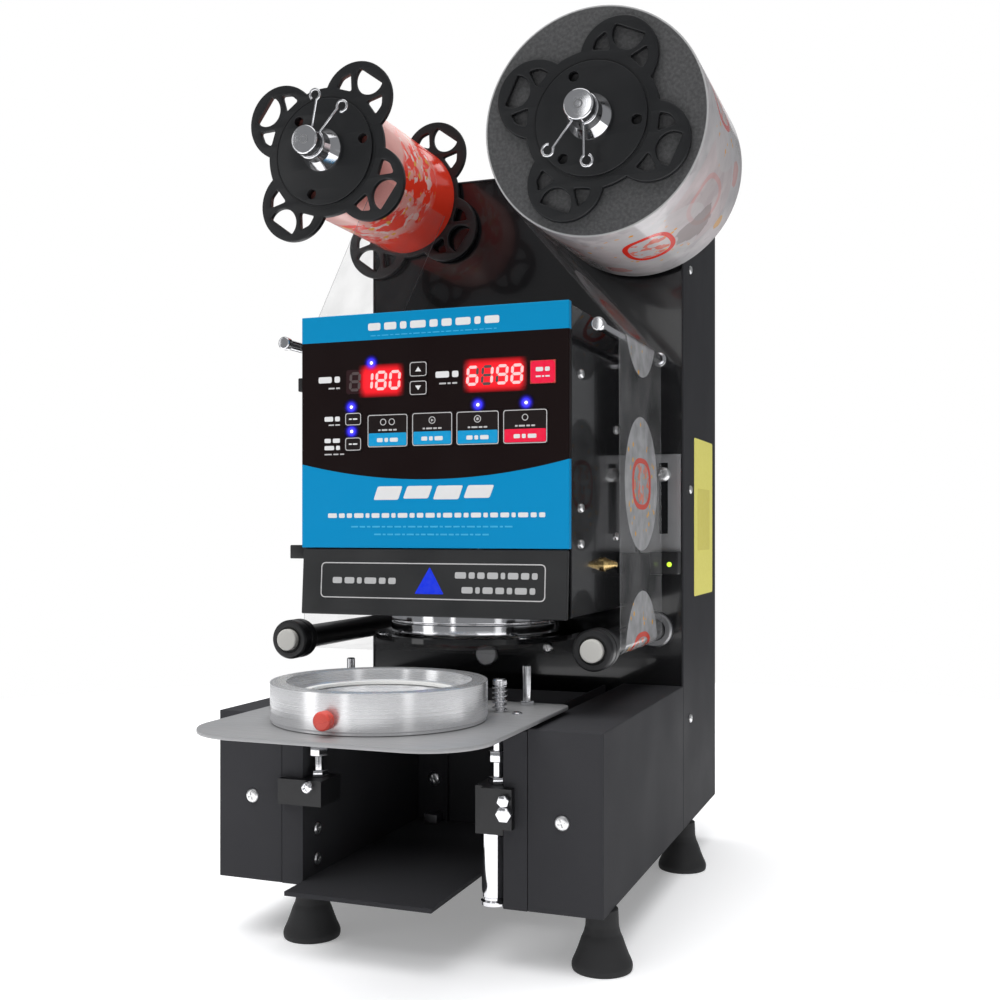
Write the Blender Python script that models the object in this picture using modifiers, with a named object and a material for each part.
"""Automatic cup sealing machine, built as separate named pieces.

Metres, +Z up, +X to the operator's right, the operator stands on the -Y side.
Every piece is placed from the machine's middle plane. The whole machine is then
shifted by MIDDLE_X and MIDDLE_Y, so that the origin is under the middle of its bounding box.
"""
import math

import bmesh
import bpy
from mathutils import Matrix, Vector

# ---------------------------------------------------------------- driving dimensions
GAP = 0.0003                      # clearance between neighbouring pieces
SHEET = 0.0015                    # sheet metal thickness

FLOOR_Z = 0.041                   # underside of the base, height of the feet
BASE_TOP = 0.162
HALF_WIDTH = 0.145
BASE_FRONT = -0.127
TOWER_FRONT = 0.122
TOWER_BACK = 0.2682
REAR_PANEL_BACK = 0.270
TOWER_TOP = 0.606
COVER_INNER = 0.093               # inner side of each base cover
BAY_HALF = 0.076                  # half width of the open bay for the cup

HEAD_HALF = 0.106
HEAD_FRONT = -0.076
HEAD_BOTTOM = 0.231
PANEL_BOTTOM = 0.280
HEAD_TOP = 0.454

PRESS_Y = 0.015                   # heating head centre
PRESS_BOTTOM = 0.2165             # underside of the heating block at rest
HEATER_RING_Z = (0.2137, 0.2290)
HEATER_RING_R = (0.056, 0.067)
FILM_PLATE_Z = (0.2085, 0.2125)

TRAY_OUT_Y = -0.158               # cup ring centre with the tray out
TRAY_HALF = 0.100
TRAY_FRONT = -0.250
TRAY_REAR = -0.052
TRAY_Z = (0.165, 0.168)
RING_R = 0.0717
RING_TOP = 0.1943
CUP_R = 0.0475                    # seat for a 95 mm cup rim

SUPPLY_X = 0.1105
TAKE_UP_X = -0.1080
REEL_Z = 0.592
DISC_FRONT = -0.036               # front face of the front flower disc
DISC_THICK = 0.005
ROLL_Y = (-0.0307, 0.115)
SUPPLY_R = 0.0845
TAKE_UP_R = 0.0475
HUB_R = 0.042                     # raised middle of a flower disc
HUB_HOLE_AT = 0.0345
BODY_R = 0.051
LOBE_R = 0.0297
LOBE_DIST = 0.048
SPINDLE_R = 0.0112
CONE_R = 0.0170
NECK_R = 0.0094
CLIP_WIRE_R = 0.0011
SPINDLE_NECK = (0.0080, 0.0135)   # groove for the clip, from the front end
REEL_BORE = 0.0118                # bore of the discs and of the rolls' cores
SPINDLE_FRONT = -0.070
SUPPLY_TURN = 155.0               # degrees, where the first lobe of a disc points
TAKE_UP_TURN = 54.0

ROLLER_X = 0.121
ROLLER_Z = 0.209
ROLLER_R = 0.009
ROD_X = 0.125
ROD_Z = 0.437
ROD_R = 0.004
FILM_Y = (-0.030, 0.104)
FILM_T = 0.0004

KEY_TRAVEL_ROOM = 0.0012          # depth of the recess behind a key
KEY_PROUD = 0.0005

# keys of the control panel: name, centre x, centre z, width, height
KEYS = [
    ("key_up", -0.0091, 0.4108, 0.0141, 0.0111),
    ("key_down", -0.0091, 0.3971, 0.0141, 0.0108),
    ("key_zero", 0.0868, 0.4045, 0.0187, 0.0163),
    ("key_sound", -0.0622, 0.3759, 0.0137, 0.0097),
    ("key_mode", -0.0622, 0.3573, 0.0137, 0.0102),
    ("key_adjust", -0.0339, 0.3665, 0.0330, 0.0245),
    ("key_start", 0.0020, 0.3667, 0.0322, 0.0245),
    ("key_pause", 0.0375, 0.3665, 0.0331, 0.0245),
    ("key_power", 0.0736, 0.3665, 0.0334, 0.0245),
]


# ---------------------------------------------------------------- outlines
def arc(centre, radius, start, end, steps):
    """Points on an arc from start to end, in degrees."""
    out = []
    for i in range(steps + 1):
        a = math.radians(start + (end - start) * i / steps)
        out.append((centre[0] + radius * math.cos(a), centre[1] + radius * math.sin(a)))
    return out


def circle(centre, radius, steps):
    return arc(centre, radius, 0, 360, steps)[:-1]


def polar(radius, degrees):
    return radius * math.cos(math.radians(degrees)), radius * math.sin(math.radians(degrees))


def lobe_windows(centre, direction):
    """Three openings in one lobe: a D shape outwards and a triangle on each side."""
    def at(radius, degrees):
        u, v = polar(radius, direction + degrees)
        return centre[0] + u, centre[1] + v

    bulge_middle = at(0.0175, 0)
    windows = [arc(bulge_middle, 0.0121, direction + 76, direction + 284, 7)]
    for side in (-1, 1):
        corners = [at(0.0214, side * 52), at(0.0209, side * 96), at(0.0083, side * 76)]
        windows.append(corners[::side])
    return windows


def hub_holes(turn):
    return [circle(polar(HUB_HOLE_AT, turn + 77 + 120 * k), 0.0038, 8) for k in range(3)]


def flower_outlines(turn):
    """The outer outline of a flower disc, its windows, its bore and its small holes."""
    on_body = math.degrees(math.acos(
        (BODY_R ** 2 + LOBE_DIST ** 2 - LOBE_R ** 2) / (2 * BODY_R * LOBE_DIST)))
    on_lobe = 180 - math.degrees(math.acos(
        (LOBE_R ** 2 + LOBE_DIST ** 2 - BODY_R ** 2) / (2 * LOBE_R * LOBE_DIST)))
    outer, windows = [], []
    for k in range(4):
        direction = turn + 90 * k
        centre = polar(LOBE_DIST, direction)
        outer += arc(centre, LOBE_R, direction - on_lobe, direction + on_lobe, 11)
        outer += arc((0, 0), BODY_R, direction + on_body, direction + 90 - on_body, 4)[1:-1]
        windows += lobe_windows(centre, direction)
    return [outer] + windows + hub_holes(turn) + [circle((0, 0), REEL_BORE, 16)]


# the reels set the width of the bounding box, the tray and the rear panel its depth
TAKE_UP_REACH = -TAKE_UP_X - min(u for u, v in flower_outlines(TAKE_UP_TURN)[0])
SUPPLY_REACH = SUPPLY_X + SUPPLY_R
MIDDLE_X = -(SUPPLY_REACH - TAKE_UP_REACH) / 2
MIDDLE_Y = -(TRAY_FRONT + REAR_PANEL_BACK) / 2


# ---------------------------------------------------------------- set-up
def clear_scene():
    for obj in list(bpy.context.scene.objects):
        bpy.data.objects.remove(obj, do_unlink=True)


def new_collection(name):
    coll = bpy.data.collections.new(name)
    bpy.context.scene.collection.children.link(coll)
    return coll


clear_scene()
PARTS = new_collection("cup_sealing_machine")
CUTTERS = new_collection("cutters")
MACHINE = bpy.data.objects.new("machine_middle", None)
MACHINE.location = (MIDDLE_X, MIDDLE_Y, 0)
PARTS.objects.link(MACHINE)


def material(name, colour, roughness, metallic=0.0, alpha=1.0):
    mat = bpy.data.materials.new(name)
    mat.use_nodes = True
    shader = mat.node_tree.nodes["Principled BSDF"]
    shader.inputs["Base Color"].default_value = (*colour, 1.0)
    shader.inputs["Roughness"].default_value = roughness
    shader.inputs["Metallic"].default_value = metallic
    shader.inputs["Alpha"].default_value = alpha
    return mat


CHARCOAL = material("charcoal_paint", (0.045, 0.046, 0.050), 0.45)
GLOSS_BLACK = material("gloss_black_paint", (0.010, 0.010, 0.012), 0.12)
BLUE_PANEL = material("blue_panel_film", (0.005, 0.27, 0.58), 0.35)
DARK_KEY = material("dark_key_film", (0.020, 0.012, 0.012), 0.3)
DOOR_GREY = material("door_plastic", (0.050, 0.050, 0.053), 0.4)
CHROME = material("chrome", (0.80, 0.80, 0.82), 0.08, 1.0)
ALUMINIUM = material("turned_aluminium", (0.85, 0.85, 0.86), 0.25, 1.0)
STAINLESS = material("brushed_steel", (0.55, 0.55, 0.57), 0.32, 1.0)
BLACK_PLASTIC = material("black_plastic", (0.012, 0.012, 0.013), 0.4)
RUBBER = material("black_rubber", (0.018, 0.018, 0.019), 0.7)
SILICONE = material("silicone", (0.75, 0.75, 0.73), 0.6)
RED_PLASTIC = material("red_plastic", (0.80, 0.08, 0.06), 0.35)
FILM = material("sealing_film", (0.85, 0.83, 0.83), 0.15, 0.0, 0.35)
ROLL_FILM = material("wound_film", (0.75, 0.70, 0.70), 0.3)
RED_FILM = material("printed_film", (0.70, 0.06, 0.04), 0.3)
BOARD = material("circuit_board", (0.02, 0.16, 0.06), 0.5)
SPRING_STEEL = material("spring_steel", (0.60, 0.60, 0.62), 0.3, 1.0)


# ---------------------------------------------------------------- building blocks
def place(obj, collection, mat, origin, parent=MACHINE):
    """Link an object, give it a material and move its mesh so that its origin is at origin."""
    if collection is CUTTERS:
        obj.hide_render = True
        obj.display_type = "WIRE"
    if mat:
        obj.data.materials.append(mat)
    obj.data.transform(Matrix.Translation(-Vector(origin)))
    obj.location = origin
    obj.parent = parent
    collection.objects.link(obj)
    return obj


def mesh_object(name, bm, mat=None, origin=(0, 0, 0), collection=PARTS, smooth=False):
    bmesh.ops.recalc_face_normals(bm, faces=bm.faces)
    mesh = bpy.data.meshes.new(name)
    bm.to_mesh(mesh)
    bm.free()
    obj = bpy.data.objects.new(name, mesh)
    if smooth:
        mesh.shade_smooth()
        mesh.set_sharp_from_angle(angle=math.radians(35))
    return place(obj, collection, mat, origin)


def add_box(bm, low, high):
    size = [b - a for a, b in zip(low, high)]
    centre = [(a + b) / 2 for a, b in zip(low, high)]
    turn = Matrix.Translation(centre) @ Matrix.Diagonal((*size, 1.0))
    return bmesh.ops.create_cube(bm, size=1.0, matrix=turn)["verts"]


AXIS_TURN = {
    "X": Matrix.Rotation(math.radians(90), 4, "Y"),
    "Y": Matrix.Rotation(math.radians(-90), 4, "X"),
    "Z": Matrix.Identity(4),
}


def add_cylinder(bm, centre, axis, radius, depth, segments=24):
    """A cylinder whose middle is at centre, along X, Y or Z."""
    turn = Matrix.Translation(centre) @ AXIS_TURN[axis]
    bmesh.ops.create_cone(bm, cap_ends=True, segments=segments, radius1=radius,
                          radius2=radius, depth=depth, matrix=turn)


def box(name, low, high, mat=None, origin=None, bevel=0.0, collection=PARTS):
    bm = bmesh.new()
    add_box(bm, low, high)
    origin = origin or [(a + b) / 2 for a, b in zip(low, high)]
    obj = mesh_object(name, bm, mat, origin, collection)
    if bevel:
        add_bevel(obj, bevel)
    return obj


def add_bevel(obj, width, segments=2, angle=40):
    mod = obj.modifiers.new("rounded_edges", "BEVEL")
    mod.width = width
    mod.segments = segments
    mod.limit_method = "ANGLE"
    mod.angle_limit = math.radians(angle)


def cylinder(name, centre, axis, radius, depth, mat=None, segments=24, collection=PARTS):
    bm = bmesh.new()
    add_cylinder(bm, centre, axis, radius, depth, segments)
    return mesh_object(name, bm, mat, centre, collection, smooth=True)


def boolean(obj, other, operation):
    mod = obj.modifiers.new(operation.lower(), "BOOLEAN")
    mod.operation = operation
    mod.solver = "EXACT"
    mod.object = other


def cut(obj, cutter):
    boolean(obj, cutter, "DIFFERENCE")


def join(obj, extra):
    boolean(obj, extra, "UNION")


def cutter_boxes(name, boxes):
    bm = bmesh.new()
    for low, high in boxes:
        add_box(bm, low, high)
    return mesh_object(name, bm, collection=CUTTERS)


def cutter_cylinders(name, cylinders):
    bm = bmesh.new()
    for centre, axis, radius, depth in cylinders:
        add_cylinder(bm, centre, axis, radius, depth)
    return mesh_object(name, bm, collection=CUTTERS)


def turned(name, profile, axis_point, axis, mat, steps=40):
    """Turn a profile of (radius, height) about an axis; heights are measured along it.

    The profile starts on the axis side of its top and runs down its outer side.
    """
    mesh = bpy.data.meshes.new(name)
    points = [(r, 0.0, h) for r, h in profile]
    closed = all(r > 0 for r, _ in profile)
    count = len(points)
    edges = [(i, i + 1) for i in range(count - 1)] + ([(count - 1, 0)] if closed else [])
    mesh.from_pydata(points, edges, [])
    obj = bpy.data.objects.new(name, mesh)
    mod = obj.modifiers.new("turn", "SCREW")
    mod.axis = "Z"
    mod.steps = steps
    mod.render_steps = steps
    mod.use_merge_vertices = True
    mod.merge_threshold = 0.00001
    mesh.materials.append(mat)
    obj.rotation_euler = AXIS_TURN[axis].to_euler()
    obj.location = axis_point
    obj.parent = MACHINE
    PARTS.objects.link(obj)
    return obj


def outline_mesh(name, outlines, thickness, turn, mat, origin=(0, 0, 0), collection=PARTS,
                 smooth=False):
    """A flat plate from closed outlines in its own XY plane; inner outlines are holes."""
    curve = bpy.data.curves.new(name + "_outline", "CURVE")
    curve.dimensions = "2D"
    curve.fill_mode = "BOTH"
    curve.extrude = thickness / 2
    for points in outlines:
        spline = curve.splines.new("POLY")
        spline.points.add(len(points) - 1)
        spline.use_cyclic_u = True
        for point, (u, v) in zip(spline.points, points):
            point.co = (u, v, 0, 1)
    flat = bpy.data.objects.new(name + "_outline", curve)
    return curve_to_mesh(flat, name, turn, mat, origin, collection, smooth)


def curve_to_mesh(source, name, turn, mat, origin, collection=PARTS, smooth=True):
    PARTS.objects.link(source)
    graph = bpy.context.evaluated_depsgraph_get()
    mesh = bpy.data.meshes.new_from_object(source.evaluated_get(graph))
    bpy.data.objects.remove(source, do_unlink=True)
    bm = bmesh.new()
    bm.from_mesh(mesh)
    bpy.data.meshes.remove(mesh)
    bmesh.ops.remove_doubles(bm, verts=bm.verts, dist=0.00001)
    bmesh.ops.transform(bm, matrix=turn, verts=bm.verts)
    return mesh_object(name, bm, mat, origin, collection, smooth)


# turns an outline's (u, v) into (x, z) with its thickness along y
FACING_FRONT = Matrix.Rotation(math.radians(90), 4, "X")


# ---------------------------------------------------------------- base
def build_base():
    inner = HALF_WIDTH - SHEET - GAP
    tongue = BASE_FRONT - 0.026
    front = BASE_FRONT + SHEET + GAP
    shelf_right = 0.035
    back = TOWER_BACK - SHEET - GAP
    outline = [(-inner, front), (-BAY_HALF + GAP, front), (-BAY_HALF + GAP, tongue),
               (shelf_right, tongue), (shelf_right, -0.060), (BAY_HALF - 0.001, -0.060),
               (BAY_HALF - 0.001, front), (inner, front), (inner, back), (-inner, back)]
    lift = Matrix.Translation((0, 0, FLOOR_Z + 0.0015))
    outline_mesh("base_plate", [outline], 0.003, lift, CHARCOAL)

    for side, name in ((-1, "left"), (1, "right")):
        build_cover(name, side)
        build_column(name, side)

    foot_z = FLOOR_Z - GAP
    profile = [(0, foot_z), (0.0110, foot_z), (0.0113, 0.029), (0.0140, 0.021),
               (0.0180, 0.010), (0.0205, 0.0045), (0.0200, 0.0), (0, 0.0)]
    feet = {"foot_front_right": (0.1365, -0.100), "foot_front_left": (-0.078, -0.110),
            "foot_rear_right": (0.1370, 0.155), "foot_rear_left": (-0.1370, 0.155)}
    for name, (x, y) in feet.items():
        turned(name, profile, (x, y, 0), "Z", RUBBER, steps=20)


def build_cover(name, side):
    """A folded cover: front, top and outer side, open towards the column, back and floor."""
    outer = sorted((side * COVER_INNER, side * HALF_WIDTH))
    wall = sorted((side * (COVER_INNER - 0.01), side * (HALF_WIDTH - SHEET)))
    back = TOWER_FRONT - GAP
    cover = box(name + "_cover", (outer[0], BASE_FRONT, FLOOR_Z), (outer[1], back, BASE_TOP),
                CHARCOAL)
    add_bevel(cover, 0.0007)
    cut(cover, cutter_boxes(name + "_cover_inside", [
        ((wall[0], BASE_FRONT + SHEET, FLOOR_Z - 0.01), (wall[1], back + 0.01, BASE_TOP - SHEET))]))


def build_column(name, side):
    """An angle section: a narrow front flange and the wall along the bay."""
    flange = sorted((side * BAY_HALF, side * (COVER_INNER - GAP)))
    wall = sorted((side * BAY_HALF, side * (BAY_HALF + SHEET)))
    top = BASE_TOP - 0.002
    column = box(name + "_column", (flange[0], BASE_FRONT, FLOOR_Z),
                 (flange[1], BASE_FRONT + SHEET, top), CHARCOAL)
    join(column, cutter_boxes(name + "_column_wall", [
        ((wall[0], BASE_FRONT + 0.0005, FLOOR_Z + 0.0033), (wall[1], TOWER_FRONT - GAP, top))]))


# ---------------------------------------------------------------- tower
def build_tower():
    w = HALF_WIDTH
    shell = box("tower_shell", (-w, TOWER_FRONT, FLOOR_Z), (w, TOWER_BACK, TOWER_TOP), CHARCOAL)
    add_bevel(shell, 0.0007)
    inside = w - SHEET
    cut(shell, cutter_boxes("tower_inside", [
        ((-inside, TOWER_FRONT - 0.01, FLOOR_Z - 0.01),
         (inside, TOWER_BACK - SHEET, TOWER_TOP - SHEET))]))
    cut(shell, cutter_boxes("service_opening", [
        ((-0.105, TOWER_BACK - 0.01, 0.110), (0.105, TOWER_BACK + 0.01, 0.400))]))
    cut(shell, cutter_boxes("inlet_opening", [
        ((-0.0140, TOWER_BACK - 0.01, 0.0660), (0.0140, TOWER_BACK + 0.01, 0.0860))]))

    front = box("tower_front", (-inside + GAP, TOWER_FRONT + 0.001, FLOOR_Z + 0.0033),
                (inside - GAP, TOWER_FRONT + 0.003, TOWER_TOP - SHEET - GAP), GLOSS_BLACK)
    hole_y = TOWER_FRONT + 0.002
    holes = [((x, hole_y, REEL_Z), "Y", 0.0065, 0.02) for x in (SUPPLY_X, TAKE_UP_X)]
    cut(front, cutter_cylinders("spindle_holes", holes))

    panel = box("rear_panel", (-0.115, TOWER_BACK + GAP, 0.100), (0.115, REAR_PANEL_BACK, 0.410),
                CHARCOAL)
    slots = []
    for row in range(9):
        z = 0.300 + 0.010 * row
        slots.append(((-0.070, TOWER_BACK - 0.01, z), (0.070, 0.280, z + 0.004)))
    cut(panel, cutter_boxes("vent_slots", slots))

    inlet = box("power_inlet", (-0.0135, 0.235, 0.0665), (0.0135, TOWER_BACK + GAP, 0.0855),
                BLACK_PLASTIC)
    join(inlet, cutter_boxes("inlet_flange", [
        ((-0.0200, TOWER_BACK + GAP, 0.0625), (0.0200, REAR_PANEL_BACK, 0.0895))]))
    cut(inlet, cutter_boxes("inlet_socket", [
        ((-0.0115, 0.252, 0.0695), (0.0115, 0.280, 0.0825))]))

    board = box("control_board", (-0.070, 0.1450, 0.300), (0.070, 0.1466, 0.400), BOARD)
    join(board, cutter_boxes("board_components", [
        ((-0.055, 0.1460, 0.320), (-0.025, 0.172, 0.350)),
        ((-0.010, 0.1460, 0.330), (0.012, 0.152, 0.352)),
        ((0.030, 0.1460, 0.315), (0.060, 0.160, 0.335)),
        ((0.020, 0.1460, 0.365), (0.062, 0.155, 0.380))]))
    motor = box("take_up_motor", (TAKE_UP_X - 0.020, 0.166, 0.552), (TAKE_UP_X + 0.020, 0.188, 0.602),
                STAINLESS)
    join(motor, cutter_cylinders("motor_can", [
        ((TAKE_UP_X, 0.214, 0.575), "Y", 0.017, 0.056)]))


# ---------------------------------------------------------------- head
def build_head():
    h = HEAD_HALF
    shell_front = HEAD_FRONT + 0.006
    back = TOWER_FRONT + 0.001 - GAP
    shell = box("head_shell", (-h, shell_front, HEAD_BOTTOM), (h, back, HEAD_TOP - 0.002),
                GLOSS_BLACK)
    add_bevel(shell, 0.0007)
    cut(shell, cutter_boxes("head_inside", [
        ((-h + SHEET, shell_front - 0.01, HEAD_BOTTOM - 0.01),
         (h - SHEET, back - SHEET, HEAD_TOP - 0.002 - SHEET))]))
    build_panel(shell_front)
    build_door()


def build_panel(shell_front):
    """The control panel plate, with a pocket for each key and a window for each display."""
    face = HEAD_FRONT
    back = shell_front - GAP
    panel = box("control_panel", (-HEAD_HALF, face, PANEL_BOTTOM), (HEAD_HALF, back, HEAD_TOP),
                BLUE_PANEL)
    pockets = []
    for name, x, z, width, height in KEYS:
        half_w, half_h = width / 2, height / 2
        key_back = face + 0.0020
        box(name, (x - half_w, face - KEY_PROUD, z - half_h), (x + half_w, key_back, z + half_h),
            DARK_KEY)
        room = key_back + KEY_TRAVEL_ROOM
        pockets.append(((x - half_w - GAP, face - 0.01, z - half_h - GAP),
                        (x + half_w + GAP, room, z + half_h + GAP)))
    add_bevel(panel, 0.0006)
    cut(panel, cutter_boxes("key_pockets", pockets))


def build_door():
    """The safety door hangs from a hinge behind the panel's lower edge."""
    hinge = (0, HEAD_FRONT + 0.0025, PANEL_BOTTOM - 0.0035)
    door = box("safety_door", (-HEAD_HALF + 0.001, HEAD_FRONT + 0.0005, HEAD_BOTTOM - 0.001),
               (HEAD_HALF - 0.001, HEAD_FRONT + 0.0045, PANEL_BOTTOM - 0.0008), DOOR_GREY,
               origin=hinge)
    door.rotation_euler = (math.radians(-4.0), 0, 0)
    add_bevel(door, 0.0008)


# ---------------------------------------------------------------- press
def build_press():
    build_film_plate()
    ring_low, ring_high = HEATER_RING_Z
    inner, outer = HEATER_RING_R
    edge = 0.0015
    turned("heater_ring", [(inner, ring_high), (outer - edge, ring_high),
                           (outer, ring_high - edge), (outer, ring_low + edge),
                           (outer - edge, ring_low), (inner, ring_low)],
           (0, PRESS_Y, 0), "Z", CHROME, steps=40)

    block_top = 0.2285
    block_height = block_top - PRESS_BOTTOM
    cylinder("heating_block", (0, PRESS_Y, PRESS_BOTTOM + block_height / 2), "Z", 0.0500,
             block_height, ALUMINIUM, segments=32)
    blade = PRESS_BOTTOM - 0.0015
    turned("cutter_ring", [(0.0505, block_top), (0.0530, block_top), (0.0530, blade),
                           (0.0505, blade + 0.0008)], (0, PRESS_Y, 0), "Z", STAINLESS, steps=32)
    rod = 0.0087
    collar_top = 0.3500
    collar_low = 0.3450
    turned("press_plunger", [(0, collar_top), (0.0180, collar_top), (0.0180, collar_low),
                             (rod, collar_low), (rod, block_top + GAP), (0, block_top + GAP)],
           (0, PRESS_Y, 0), "Z", CHROME, steps=20)
    half = HEAD_HALF - SHEET - GAP
    bridge = box("press_bridge", (-half, -0.030, 0.3000), (half, 0.060, 0.3060), STAINLESS)
    cut(bridge, cutter_cylinders("bridge_bore", [((0, PRESS_Y, 0.303), "Z", 0.0090, 0.02)]))
    build_press_spring()


def build_film_plate():
    """A plate with a round front, hung from a flange on the tower, open over the cup."""
    low, high = FILM_PLATE_Z
    half = 0.080
    rear = TOWER_FRONT + 0.0007
    outline = arc((0, PRESS_Y), half, 180, 360, 24) + [(half, rear), (-half, rear)]
    hole = circle((0, PRESS_Y), HEATER_RING_R[0], 40)
    middle = (low + high) / 2
    lift = Matrix.Translation((0, 0, middle))
    plate = outline_mesh("film_plate", [outline, hole], high - low, lift, GLOSS_BLACK)
    join(plate, cutter_boxes("film_plate_flange", [
        ((-0.078, TOWER_FRONT - 0.003, middle), (0.078, TOWER_FRONT + 0.0005, 0.2300))]))


def build_press_spring():
    """A return spring that stands on the bridge and pushes the plunger's collar up."""
    wire = 0.0010
    radius = 0.0135
    bottom = 0.3060 + GAP + wire
    top = 0.3450 - GAP - wire
    turns = 4
    per_turn = 10
    curve = bpy.data.curves.new("press_spring_wire", "CURVE")
    curve.dimensions = "3D"
    curve.bevel_depth = wire
    curve.bevel_resolution = 1
    curve.use_fill_caps = True
    count = turns * per_turn + 1
    spline = curve.splines.new("POLY")
    spline.points.add(count - 1)
    for i, point in enumerate(spline.points):
        a = 2 * math.pi * i / per_turn
        z = bottom + (top - bottom) * i / (count - 1)
        point.co = (radius * math.cos(a), PRESS_Y + radius * math.sin(a), z, 1)
    source = bpy.data.objects.new("press_spring_wire", curve)
    curve_to_mesh(source, "press_spring", Matrix.Identity(4), SPRING_STEEL, (0, PRESS_Y, bottom))


# ---------------------------------------------------------------- tray
def build_tray():
    r_front, r_rear = 0.042, 0.008
    w = TRAY_HALF
    outline = (arc((-w + r_front, TRAY_FRONT + r_front), r_front, 180, 270, 8)
               + arc((w - r_front, TRAY_FRONT + r_front), r_front, 270, 360, 8)
               + arc((w - r_rear, TRAY_REAR - r_rear), r_rear, 0, 90, 4)
               + arc((-w + r_rear, TRAY_REAR - r_rear), r_rear, 90, 180, 4))
    hole = circle((0, TRAY_OUT_Y), CUP_R + 0.003, 40)
    low, high = TRAY_Z
    lift = Matrix.Translation((0, 0, (low + high) / 2))
    outline_mesh("tray_plate", [outline, hole], high - low, lift, STAINLESS,
                 origin=(0, TRAY_OUT_Y, low))

    bottom = high + GAP
    seat = 0.1860
    turned("cup_ring", [(0.0610, RING_TOP), (RING_R - 0.0008, RING_TOP), (RING_R, RING_TOP - 0.0008),
                        (RING_R, bottom), (CUP_R, bottom), (CUP_R, seat - GAP - 0.0015),
                        (0.0540, seat - GAP - 0.0015), (0.0540, seat + 0.0005),
                        (0.0600, seat + 0.0005)],
           (0, TRAY_OUT_Y, 0), "Z", ALUMINIUM, steps=48)
    turned("cup_gasket", [(CUP_R + 0.0005, seat + 0.0010), (0.0530, seat + 0.0010),
                          (0.0535, seat - 0.0013), (CUP_R + 0.0005, seat - 0.0013)],
           (0, TRAY_OUT_Y, 0), "Z", SILICONE, steps=36)
    knob_front = TRAY_OUT_Y - RING_R - 0.0085
    turned("ring_knob", [(0, 0.0080), (0.0030, 0.0080), (0.0030, 0.0065), (0.0060, 0.0065),
                         (0.0060, 0.0008), (0.0052, 0.0), (0, 0.0)],
           (0, knob_front, 0.178), "Y", RED_PLASTIC, steps=16)


def build_supports():
    """Blocks clamped to the columns, and the chrome post under the right one."""
    post_x, post_y = 0.0652, -0.116
    block_z = (0.0898, 0.1220)
    wall = BAY_HALF - GAP
    front = BASE_FRONT - GAP
    right = box("right_block", (0.056, front, block_z[0]), (wall, -0.104, block_z[1]),
                BLACK_PLASTIC)
    join(right, cutter_boxes("right_block_lug", [
        ((0.062, front - 0.006, 0.095), (0.084, front, block_z[1]))]))
    left = box("left_block", (-wall, front, 0.0990), (-0.058, -0.104, 0.1170), BLACK_PLASTIC)
    join(left, cutter_boxes("left_block_lug", [
        ((-0.0925, front - 0.006, 0.0990), (-0.058, front, 0.1170))]))
    post_r = 0.0084
    turned("support_post", [(0, block_z[0] - GAP), (post_r, block_z[0] - GAP), (post_r, 0.0455),
                            (0.0075, 0.0450), (0.0075, 0.0435), (0.0090, 0.0430),
                            (0.0090, 0.0405), (0, 0.0405)],
           (post_x, post_y, 0), "Z", CHROME, steps=20)
    motor = cylinder("tray_motor", (-0.116, -0.066, 0.120), "X", 0.016, 0.044, STAINLESS)
    join(motor, cutter_cylinders("tray_motor_shaft", [
        ((-0.095, -0.066, 0.120), "X", 0.004, 0.030)]))


# ---------------------------------------------------------------- reels
def build_disc(name, x, turn, front):
    """One flower disc with a raised middle on its front face."""
    place_at = Matrix.Translation((x, front + DISC_THICK / 2, REEL_Z)) @ FACING_FRONT
    disc = outline_mesh(name, flower_outlines(turn), DISC_THICK, place_at, BLACK_PLASTIC,
                        origin=(x, front, REEL_Z))
    raised = 0.0020
    ring = [circle((0, 0), HUB_R, 32), circle((0, 0), REEL_BORE, 16)]
    hub_at = Matrix.Translation((x, front - raised / 2 + 0.0005, REEL_Z)) @ FACING_FRONT
    hub = outline_mesh(name + "_hub", ring + hub_holes(turn), raised + 0.001, hub_at, None,
                       collection=CUTTERS)
    join(disc, hub)
    return disc


def build_spindle(name, x):
    """A stepped spindle; heights run from its front end to its rear end, along +Y."""
    front = SPINDLE_FRONT
    bore = REEL_BORE - GAP
    hub_face = DISC_FRONT - 0.0020 - GAP

    def along(y):
        return y - front

    profile = [(0, along(0.160)), (0.0060, along(0.160)), (0.0060, along(0.1215)),
               (bore, along(0.1215)), (bore, along(hub_face)), (CONE_R, along(hub_face)),
               (CONE_R, along(hub_face - 0.004)), (0.0120, along(hub_face - 0.011)),
               (NECK_R, SPINDLE_NECK[1]), (NECK_R, SPINDLE_NECK[0]), (SPINDLE_R, 0.0070),
               (SPINDLE_R, 0.0008), (SPINDLE_R - 0.0008, 0.0), (0, 0.0)]
    turned(name, profile, (x, front, REEL_Z), "Y", CHROME, steps=16)


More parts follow.
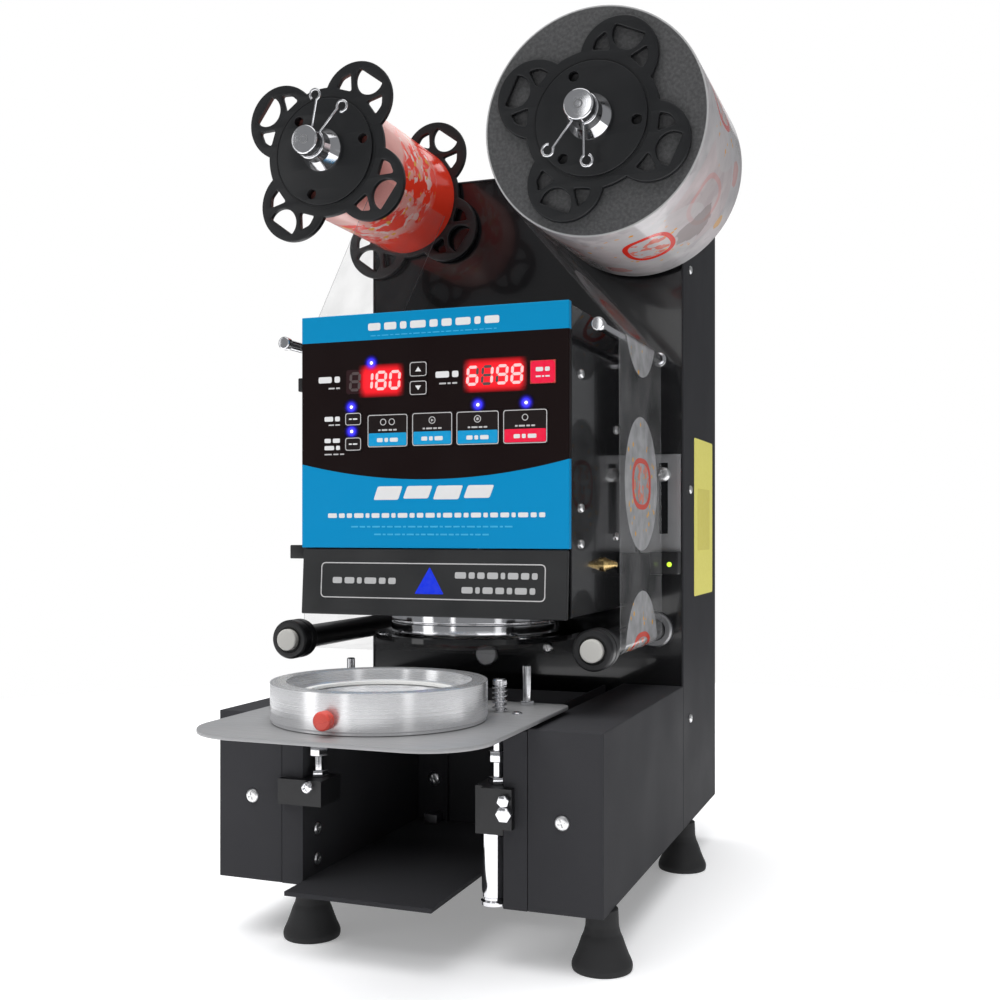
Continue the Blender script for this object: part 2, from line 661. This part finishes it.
def build_clip(name, x, angles):
    """A hairpin clip: an open eye at the end of each leg, and a bend round the spindle's neck."""
    wire = CLIP_WIRE_R
    y = SPINDLE_FRONT + sum(SPINDLE_NECK) / 2
    neck = NECK_R + wire + 2 * GAP
    leg_out = 0.033
    eye_r = 0.0042
    first_leg, last_leg = angles

    def eye(direction, sense):
        centre = polar(leg_out + eye_r, direction)
        return arc(centre, eye_r, direction + 180 + sense * 25, direction + 180 + sense * 320, 9)

    # the bend goes round the far side of the neck from the legs
    bend = arc((0, 0), neck, first_leg, last_leg - 360, 12)
    route = eye(first_leg, -1)[::-1] + bend + eye(last_leg, 1)
    curve = bpy.data.curves.new(name + "_wire", "CURVE")
    curve.dimensions = "3D"
    curve.bevel_depth = wire
    curve.bevel_resolution = 1
    curve.use_fill_caps = True
    spline = curve.splines.new("POLY")
    spline.points.add(len(route) - 1)
    for point, (u, v) in zip(spline.points, route):
        point.co = (x + u, y, REEL_Z + v, 1)
    source = bpy.data.objects.new(name + "_wire", curve)
    curve_to_mesh(source, name, Matrix.Identity(4), SPRING_STEEL, (x, y, REEL_Z))


def build_roll(name, x, radius, mat):
    rear, front = ROLL_Y[1] - ROLL_Y[0], 0.0
    turned(name, [(REEL_BORE, rear), (radius - 0.0005, rear), (radius, rear - 0.0005),
                  (radius, 0.0005), (radius - 0.0005, front), (REEL_BORE, front)],
           (x, ROLL_Y[0], REEL_Z), "Y", mat, steps=40)


def build_reels():
    rear_disc = ROLL_Y[1] + GAP
    reels = (("supply", SUPPLY_X, SUPPLY_R, SUPPLY_TURN, ROLL_FILM, (-134, -85)),
             ("take_up", TAKE_UP_X, TAKE_UP_R, TAKE_UP_TURN, RED_FILM, (43, 84)))
    for name, x, radius, turn, mat, legs in reels:
        build_spindle(name + "_spindle", x)
        build_roll(name + "_roll", x, radius, mat)
        build_disc(name + "_front_disc", x, turn, DISC_FRONT)
        build_rear_disc(name + "_rear_disc", x, turn, rear_disc)
        build_clip(name + "_clip", x, legs)


def build_rear_disc(name, x, turn, front):
    place_at = Matrix.Translation((x, front + DISC_THICK / 2, REEL_Z)) @ FACING_FRONT
    outline_mesh(name, flower_outlines(turn), DISC_THICK, place_at, BLACK_PLASTIC,
                 origin=(x, front, REEL_Z))


# ---------------------------------------------------------------- film and its rollers
def tangent(first, second):
    """Ends of the straight film between two (x, z, radius, side) circles.

    side is +1 where the circle lies on the left of the film's travel, -1 on the right.
    """
    (x1, z1, r1, s1), (x2, z2, r2, s2) = first, second
    length = math.hypot(x2 - x1, z2 - z1)
    bearing = math.atan2(z2 - z1, x2 - x1)
    heading = bearing - math.asin((s2 * r2 - s1 * r1) / length)
    left = (-math.sin(heading), math.cos(heading))
    start = (x1 - s1 * r1 * left[0], z1 - s1 * r1 * left[1])
    end = (x2 - s2 * r2 * left[0], z2 - s2 * r2 * left[1])
    return start, end, heading


def ribbon(points):
    """A thin closed outline round an open centre line."""
    left_side, right_side = [], []
    for i, (u, v) in enumerate(points):
        before = points[max(i - 1, 0)]
        after = points[min(i + 1, len(points) - 1)]
        run = math.hypot(after[0] - before[0], after[1] - before[1])
        nu, nv = -(after[1] - before[1]) / run, (after[0] - before[0]) / run
        left_side.append((u + nu * FILM_T / 2, v + nv * FILM_T / 2))
        right_side.append((u - nu * FILM_T / 2, v - nv * FILM_T / 2))
    return left_side + right_side[::-1]


def film_runs():
    """Centre lines of the film between the two rolls, one list of points for each run."""
    lift = GAP + FILM_T / 2
    stops = [(SUPPLY_X, REEL_Z, SUPPLY_R + lift, 1), (ROD_X, ROD_Z, ROD_R + lift, -1),
             (ROLLER_X, ROLLER_Z, ROLLER_R + lift, -1), (-ROLLER_X, ROLLER_Z, ROLLER_R + lift, -1),
             (-ROD_X, ROD_Z, ROD_R + lift, -1), (TAKE_UP_X, REEL_Z, TAKE_UP_R + lift, 1)]
    spans = [tangent(a, b) for a, b in zip(stops, stops[1:])]
    runs = []
    for i, (start, end, heading) in enumerate(spans):
        along = (math.cos(heading), math.sin(heading))
        first = (start[0] + along[0] * GAP, start[1] + along[1] * GAP)
        points = [first, end]
        if i + 1 < len(spans):
            x, z, radius, _ = stops[i + 1]
            turn_from = math.degrees(heading) + 90
            turn_to = math.degrees(spans[i + 1][2]) + 90
            while turn_to > turn_from:
                turn_to -= 360
            points += arc((x, z), radius, turn_from, turn_to, 6)[1:]
        runs.append(points)
    return runs


def build_film():
    runs = film_runs()
    right = runs[0] + runs[1][1:]
    left = runs[3] + runs[4][1:]
    place_at = Matrix.Translation((0, sum(FILM_Y) / 2, 0)) @ FACING_FRONT
    width = FILM_Y[1] - FILM_Y[0]
    for name, points in (("film_right", right), ("film_lower", runs[2]), ("film_left", left)):
        outline_mesh(name, [ribbon(points)], width, place_at, FILM)


def build_rollers():
    front = -0.074
    rear = TOWER_FRONT + 0.001 - GAP

    def along(y):
        return y - front

    roller = [(0, along(rear)), (ROLLER_R, along(rear)), (ROLLER_R, along(-0.050)),
              (0.0140, along(-0.0495)), (0.0150, along(-0.0520)), (0.0150, along(-0.0680)),
              (0.0138, along(-0.0700)), (0.0077, along(-0.0700)), (0.0077, along(-0.0735)),
              (0.0070, 0.0), (0, 0.0)]
    rod = [(0, along(rear)), (0.0060, along(rear)), (0.0060, along(rear - 0.004)),
           (ROD_R, along(rear - 0.004)), (ROD_R, along(-0.0650)), (0.0050, along(-0.0650)),
           (0.0050, along(-0.0700)), (0.0042, along(-0.0710)), (0, along(-0.0710))]
    for side, name in ((-1, "left"), (1, "right")):
        turned(name + "_roller", roller, (side * ROLLER_X, front, ROLLER_Z), "Y", BLACK_PLASTIC,
               steps=24)
        turned(name + "_film_rod", rod, (side * ROD_X, front, ROD_Z), "Y", CHROME, steps=16)


def build_sensor():
    """A slotted bracket on the tower face, with the film sensor clamped to its lower end."""
    back = TOWER_FRONT + 0.001 - GAP
    sensor = box("film_sensor", (0.1085, back - 0.0020, 0.2740), (0.1430, back, 0.3570), STAINLESS)
    join(sensor, cutter_boxes("sensor_body", [
        ((0.1200, back - 0.0140, 0.2565), (0.1428, back - 0.0005, 0.2745))]))
    cut(sensor, cutter_boxes("sensor_slot", [
        ((0.1245, back - 0.01, 0.2900), (0.1320, back + 0.01, 0.3500))]))


build_base()
build_tower()
build_head()
build_press()
build_tray()
build_supports()
build_reels()
build_film()
build_rollers()
build_sensor()
